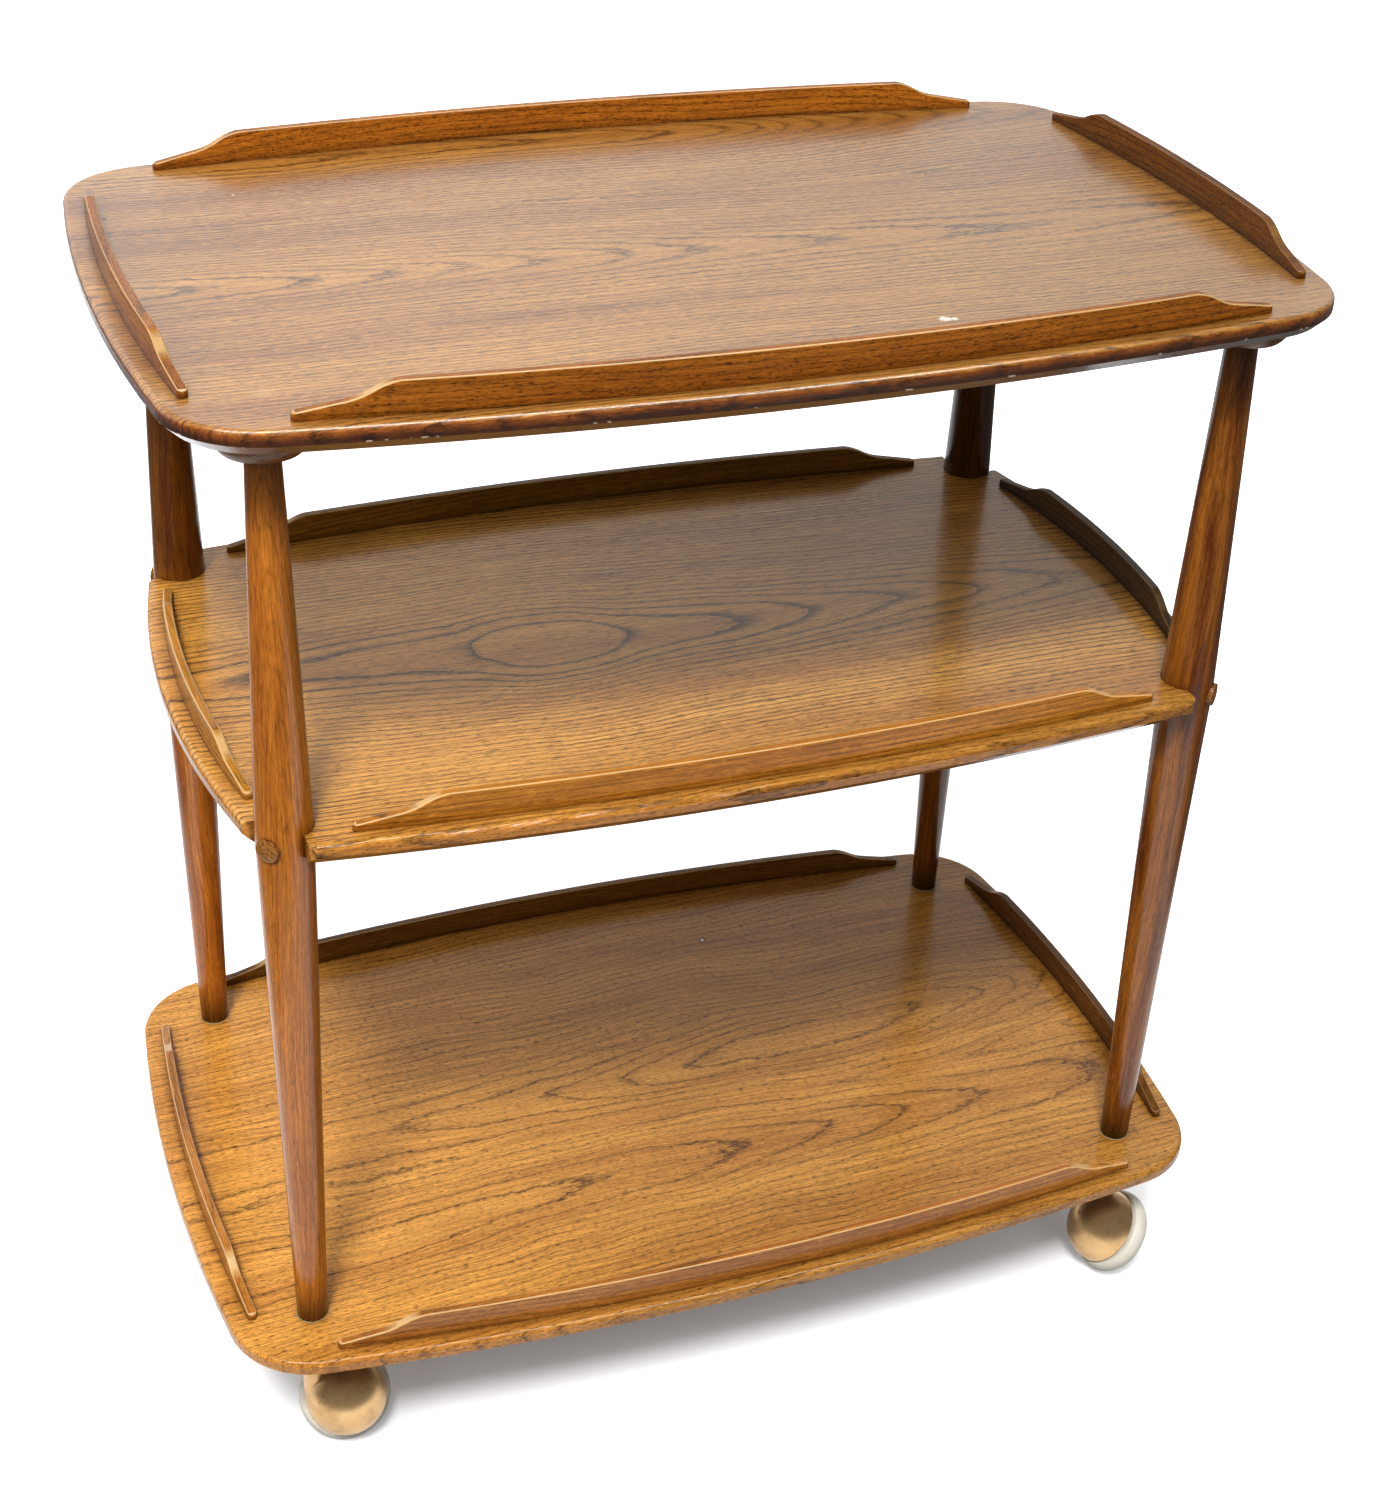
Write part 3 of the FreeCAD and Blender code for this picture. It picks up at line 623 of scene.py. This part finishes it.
# Painted shade: the low levels of the middle and bottom back rails, under the trays above
rail_levels = {
    "top": {"back": 1.0, "front": 0.88, "right": 0.36, "left": 0.9},
    "middle": {"back": 0.33, "front": 1.0, "right": 0.12, "left": 0.85},
    "bottom": {"back": 0.36, "front": 0.98, "right": 0.42, "left": 1.0},
}
rail_reach = 0.30
rail_draw_start = 11
rail_noise_start, rail_noise_step = 0.4, 1.7


def rail_heart(draws):
    """The middle of the log that a rail was sawn from, drawn at random."""
    pick = random.Random(draws)
    start_depth = pick.uniform(0.25, 0.55)
    end_depth = start_depth + pick.uniform(-0.22, 0.22)
    return {"place": pick.uniform(-0.03, 0.03), "lean": pick.uniform(-0.05, 0.05), "reach": rail_reach,
            "depths": ((-rail_reach, start_depth), (0.0, (start_depth + end_depth) / 2),
                       (rail_reach, end_depth))}


for count, (tier, side) in enumerate((tier, side) for tier in tiers for side in sides):
    name = f"{tier}_{side}_rail"
    look = rail_looks[tier]
    level = rail_levels[tier][side]
    pale, deep = darkened(look["pale"], level), darkened(look["deep"], level)
    finish = wood(f"{name}_elm", middle_of(name), pale, deep,
                  grain="X" if side in long_sides else "Y", hearts=(rail_heart(count + rail_draw_start),),
                  ring=0.0042, jag=0.25, line=0.4, band_share=look["band_share"], pore=look["pore"],
                  fleck=(260, 2200), seed=count * rail_noise_step + rail_noise_start,
                  coat=rail_coats[side], rubbed_share=rail_wear_and_highlight[side], dirt_share=0.95)
    dress(name, finish, rail_round)


# Legs and their covers, and the bosses under the trays

leg_pale, leg_deep = from_screen(176, 106, 34), from_screen(78, 38, 12)
# Each leg's level; the back right leg's low level is painted shade
leg_levels = {"front_left": 1.38, "front_right": 0.84, "back_left": 1.3, "back_right": 0.58}
leg_streaks = {"front_left": 0.45, "front_right": 0.95, "back_left": 0.6, "back_right": 0.8}
leg_reach = 0.36
leg_draw_start = 31
leg_noise_start, leg_noise_step = 9.1, 2.3

# How dark the painted shade makes a leg at its foot and neck and above the middle tray, and over what height
# in metres
foot_shade, foot_shade_height = 0.30, 0.040
neck_shade, neck_shade_height = 0.40, 0.060
waist_shade, waist_shade_height = 0.40, 0.030

boss_pale, boss_deep = from_screen(140, 88, 40), from_screen(72, 40, 16)
small_pales = {"screw_cover": from_screen(168, 112, 52), "top_boss": boss_pale, "bottom_boss": boss_pale}
small_heart = {"place": 0.01, "lean": 0.0, "reach": 0.05,
               "depths": ((-0.05, 0.1), (0.0, 0.14), (0.05, 0.2))}
small_noise_start, small_noise_step = 3.3, 1.1


def leg_heart(draws):
    """The middle of the log that a leg was turned from, drawn at random."""
    pick = random.Random(draws)
    start_depth = pick.uniform(0.12, 0.3)
    return {"place": pick.uniform(-0.012, 0.012), "lean": pick.uniform(-0.02, 0.02), "reach": leg_reach,
            "depths": ((-leg_reach, start_depth), (0.0, start_depth + 0.08), (leg_reach, start_depth + 0.3))}


def leg_shades(corner, middle):
    """The painted shade at a leg's foot and neck and, on a back leg, above the middle tray."""
    foot = bottom_face - middle
    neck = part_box(f"{corner}_top_boss")[0].z - middle
    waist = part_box("middle_tray")[0].z - middle
    shades = [(foot, foot + foot_shade_height, foot_shade, 1.0),
              (neck - neck_shade_height, neck, 1.0, neck_shade)]
    if corner.startswith("back"):
        shades.append((waist, waist + waist_shade_height, 1.0, waist_shade))
    return shades


for count, corner in enumerate(corners):
    centre = middle_of(f"{corner}_leg")
    level = leg_levels[corner]
    finish = wood(f"{corner}_leg_elm", centre, darkened(leg_pale, level), darkened(leg_deep, level),
                  grain="Z", hearts=(leg_heart(count + leg_draw_start),), ring=0.0030, jag=0.3,
                  band_share=0.35, streak=leg_streaks[corner], broad=(5, 130), pore=0.4, fleck=(110, 1700),
                  seed=count * leg_noise_step + leg_noise_start, coat=0.8, gloss=0.17,
                  shades=leg_shades(corner, centre.z), dirt_reach=0.05)
    dress(f"{corner}_leg", finish)
    for part, pale in small_pales.items():
        name = f"{corner}_{part}"
        finish = wood(f"{name}_elm", middle_of(name), pale, boss_deep, hearts=(small_heart,), ring=0.0030,
                      jag=0.3, pore=0.8, seed=count * small_noise_step + small_noise_start, coat=0.6,
                      gloss=0.24)
        dress(name, finish)


# Casters and fixings

bronze_bright, bronze_worn = from_screen(218, 180, 128), from_screen(184, 146, 100)
steel_bright, steel_worn = from_screen(176, 174, 170), from_screen(128, 122, 114)
bronze = metal("bronze", bronze_bright, bronze_worn, roughness=0.3, scratches=0.7)
steel = metal("steel", steel_bright, steel_worn, roughness=0.3, scratches=0.3)
cream = plastic("cream_plastic", from_screen(226, 220, 202), from_screen(150, 136, 110), roughness=0.35)
tyre = plastic("cream_tyre", from_screen(232, 227, 212), from_screen(150, 138, 118), roughness=0.45)
caster_finishes = {
    "hood": bronze, "socket": steel, "stem": steel, "axle": steel, "wheel": cream, "tyre": tyre}
for corner in corners:
    for part, finish in caster_finishes.items():
        dress(f"{corner}_caster_{part}", finish)
dress("middle_tray_screws", steel)


# The bead of old glue and polish round each leg where it meets the bottom tray

foot_radius = 0.0098
bead_thickness = 0.0006
bead_points = 96
bead_sides = 6
polish = plastic("old_polish", from_screen(158, 140, 100), from_screen(96, 70, 42), roughness=0.4, darkening=0.7)


def glue_bead(corner):
    """A thin uneven ring round a leg's foot, half sunk in the tray."""
    middle = middle_of(f"{corner}_leg")
    foot = Vector((middle.x, middle.y, bottom_face))
    pick = random.Random(corner)
    shape = bmesh.new()
    rings = []
    for turn in range(bead_points):
        angle = 2 * math.pi * turn / bead_points
        fat = bead_thickness * pick.uniform(0.7, 1.1)
        outward = Vector((math.cos(angle), math.sin(angle), 0))
        ring = []
        for step in range(bead_sides):
            around = 2 * math.pi * step / bead_sides
            rise = Vector((0, 0, math.sin(around) * fat))
            reach = outward * (foot_radius + math.cos(around) * fat)
            ring.append(shape.verts.new(foot + reach + rise))
        rings.append(ring)
    for ring, following in zip(rings, rings[1:] + rings[:1]):
        for step in range(bead_sides):
            after = (step + 1) % bead_sides
            shape.faces.new((ring[step], following[step], following[after], ring[after]))
    bmesh.ops.recalc_face_normals(shape, faces=shape.faces)
    mesh = bpy.data.meshes.new(f"{corner}_glue_bead")
    shape.to_mesh(mesh)
    shape.free()
    mesh.materials.append(polish)
    bead = bpy.data.objects.new(mesh.name, mesh)
    bpy.context.scene.collection.objects.link(bead)
    soften(bead)
    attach(bead, "root")


for corner in corners:
    glue_bead(corner)


# Floor and world

plain_white = (1, 1, 1, 1)
floor_half = 8.0
floor_corners = ((-1, -1), (1, -1), (1, 1), (-1, 1))
floor_cloud_scale = (2.0, 2.0)
floor_whites = from_screen(228, 229, 232), from_screen(234, 234, 234)
floor_grey = from_screen(104, 102, 100)
front_x, front_y = -0.36, -0.8         # which way the front of the paper lies
paper_end = 0.70                       # how far the mirrored paper reaches, in metres
paper_fade = 0.12
mirrored_glow = 0.85                   # how bright it glows there
under_range = (-0.09, 0.06, 0.12, 1.0)  # how the glow fades under the trolley: painted shade there, which keeps its shadow dark

# Ranges for spread over the sky, where x, y and z are the parts of a direction
wall_range = (0.60, 0.80, 1.0, 0.11)   # up z, from bright walls to a dim ceiling
horizon_range = (0.30, 0.42, 1.0, 1.12)  # up z, a little brighter higher up the walls
back_range = (0.15, 0.55, 0.04, 1.0)   # along y, bright only at the back
beside_across = (0.18, 0.52)           # along x and up z, a dimmer part low on the right
beside_up = (0.50, 0.36)
beside_dimming = -0.34
ambient = 0.045


def add_floor():
    """A grey floor that the camera sees as white paper, and gloss too for a way in front and beside; its
    glow is dimmed under the trolley as painted shade.
    """
    mesh = bpy.data.meshes.new("floor")
    mesh.from_pydata([(x * floor_half, y * floor_half, 0) for x, y in floor_corners], [], [(0, 1, 2, 3)])
    floor = bpy.data.objects.new("floor", mesh)
    bpy.context.scene.collection.objects.link(floor)
    material, tree, end = blank("floor_paper")
    here = put(tree, "TexCoord").outputs["Object"]
    clouds = noise(tree, scaled(tree, here, *floor_cloud_scale), detail=3.0)
    white = mixed(tree, clouds, *floor_whites)
    path = put(tree, "LightPath").outputs
    mirrored = maths(tree, "MAXIMUM", path["Is Glossy Ray"], path["Is Transmission Ray"])
    x, y, _ = put(tree, "SeparateXYZ", {0: here}).outputs[:3]
    aside = maths(tree, "ABSOLUTE", x)
    forward = maths(tree, "MULTIPLY_ADD", x, front_x, multiplied(tree, y, front_y))
    furthest = maths(tree, "MAXIMUM", forward, aside)
    on_paper = spread(tree, furthest, paper_end + paper_fade, paper_end - paper_fade)
    seen = maths(tree, "MAXIMUM", path["Is Camera Ray"], multiplied(tree, mirrored, on_paper))
    paper = put(tree, "BsdfDiffuse", {"Color": mixed(tree, seen, floor_grey, white)}).outputs[0]
    # Painted shade: the paper glows less under the trolley
    past_x = maths(tree, "SUBTRACT", aside, cad_box[1].x)
    past_y = maths(tree, "SUBTRACT", maths(tree, "ABSOLUTE", y), cad_box[1].y)
    open_floor = spread(tree, maths(tree, "MAXIMUM", past_x, past_y), *under_range)
    dimmed = maths(tree, "MULTIPLY_ADD", path["Is Camera Ray"], 1.0 - mirrored_glow, mirrored_glow)
    strength = multiplied(tree, multiplied(tree, seen, dimmed), open_floor)
    glow = put(tree, "Emission", {"Color": plain_white, "Strength": strength}).outputs[0]
    tree.links.new(put(tree, "AddShader", {0: paper, 1: glow}).outputs[0], end.inputs[0])
    mesh.materials.append(material)


def add_world():
    """A white background for the camera, and for the trolley a dim room with bright walls at the back."""
    world = bpy.data.worlds.new("studio")
    world.use_nodes = True
    tree = world.node_tree
    tree.nodes.clear()
    path = put(tree, "LightPath").outputs
    x, y, z = put(tree, "SeparateXYZ", {0: put(tree, "TexCoord").outputs["Generated"]}).outputs[:3]
    low = multiplied(tree, spread(tree, z, *wall_range), spread(tree, z, *horizon_range))
    beside = multiplied(tree, spread(tree, x, *beside_across), spread(tree, z, *beside_up))
    low = multiplied(tree, low, maths(tree, "MULTIPLY_ADD", beside, beside_dimming, 1.0))
    walls = multiplied(tree, low, spread(tree, y, *back_range))
    strength = maths(tree, "MAXIMUM", walls, ambient)
    strength = maths(tree, "MAXIMUM", strength, path["Is Camera Ray"])
    sky = put(tree, "Background", {"Color": plain_white, "Strength": strength}).outputs[0]
    tree.links.new(sky, put(tree, "OutputWorld").inputs[0])
    bpy.context.scene.world = world


# Lamps and camera

def facing(direction):
    return Vector(direction).to_track_quat("-Z", "Y").to_euler()


def add_sun(name, source, spread_angle, strength):
    """A broad sun that gloss doesn't show."""
    data = bpy.data.lights.new(name, "SUN")
    data.angle = spread_angle
    data.energy = strength
    sun = bpy.data.objects.new(name, data)
    sun.rotation_euler = facing(-Vector(source))
    sun.visible_glossy = False
    bpy.context.scene.collection.objects.link(sun)


def add_card(name, place, aim, width, height, watts, glossy):
    """A flat lamp that faces its aim, and either shows only in gloss or lights without showing there."""
    data = bpy.data.lights.new(name, "AREA")
    data.shape = "RECTANGLE"
    data.size = width
    data.size_y = height
    data.energy = watts
    card = bpy.data.objects.new(name, data)
    card.location = place
    card.rotation_euler = facing(Vector(aim) - Vector(place))
    card.visible_glossy = glossy
    card.visible_diffuse = not glossy
    bpy.context.scene.collection.objects.link(card)


def add_camera():
    """The camera that took the photograph, turned by its yaw, pitch and roll."""
    data = bpy.data.cameras.new("camera")
    data.sensor_width = sensor_size
    data.lens = focal_pixels * sensor_size / photo_height
    camera = bpy.data.objects.new("camera", data)
    level = math.cos(camera_pitch)
    forward = Vector((math.sin(camera_yaw) * level, math.cos(camera_yaw) * level, math.sin(camera_pitch)))
    flat_right = Vector((math.cos(camera_yaw), -math.sin(camera_yaw), 0))
    flat_up = flat_right.cross(forward)
    right = flat_right * math.cos(camera_roll) + flat_up * math.sin(camera_roll)
    up = flat_up * math.cos(camera_roll) - flat_right * math.sin(camera_roll)
    turn = Matrix((right, up, -forward)).transposed().to_4x4()
    camera.matrix_world = Matrix.Translation(camera_place) @ turn
    bpy.context.scene.collection.objects.link(camera)
    bpy.context.scene.camera = camera


add_floor()
add_world()
add_sun("key", source=(-0.25, -0.48, 0.84), spread_angle=0.22, strength=2.8)
add_card("left_card", place=(-1.5, -0.9, 1.4), aim=(-0.1, 0, 0.3), width=0.7, height=0.9, watts=10,
         glossy=False)
add_card("front_card", place=(0.2, -2.2, 1.9), aim=(0, 0, 0.4), width=1.8, height=1.2, watts=12,
         glossy=False)
add_card("ceiling_card", place=(-0.2, -0.45, 2.3), aim=(-0.2, -0.45, 0), width=2.4, height=0.6, watts=62,
         glossy=True)
add_camera()
bpy.context.scene.view_settings.view_transform = "Standard"
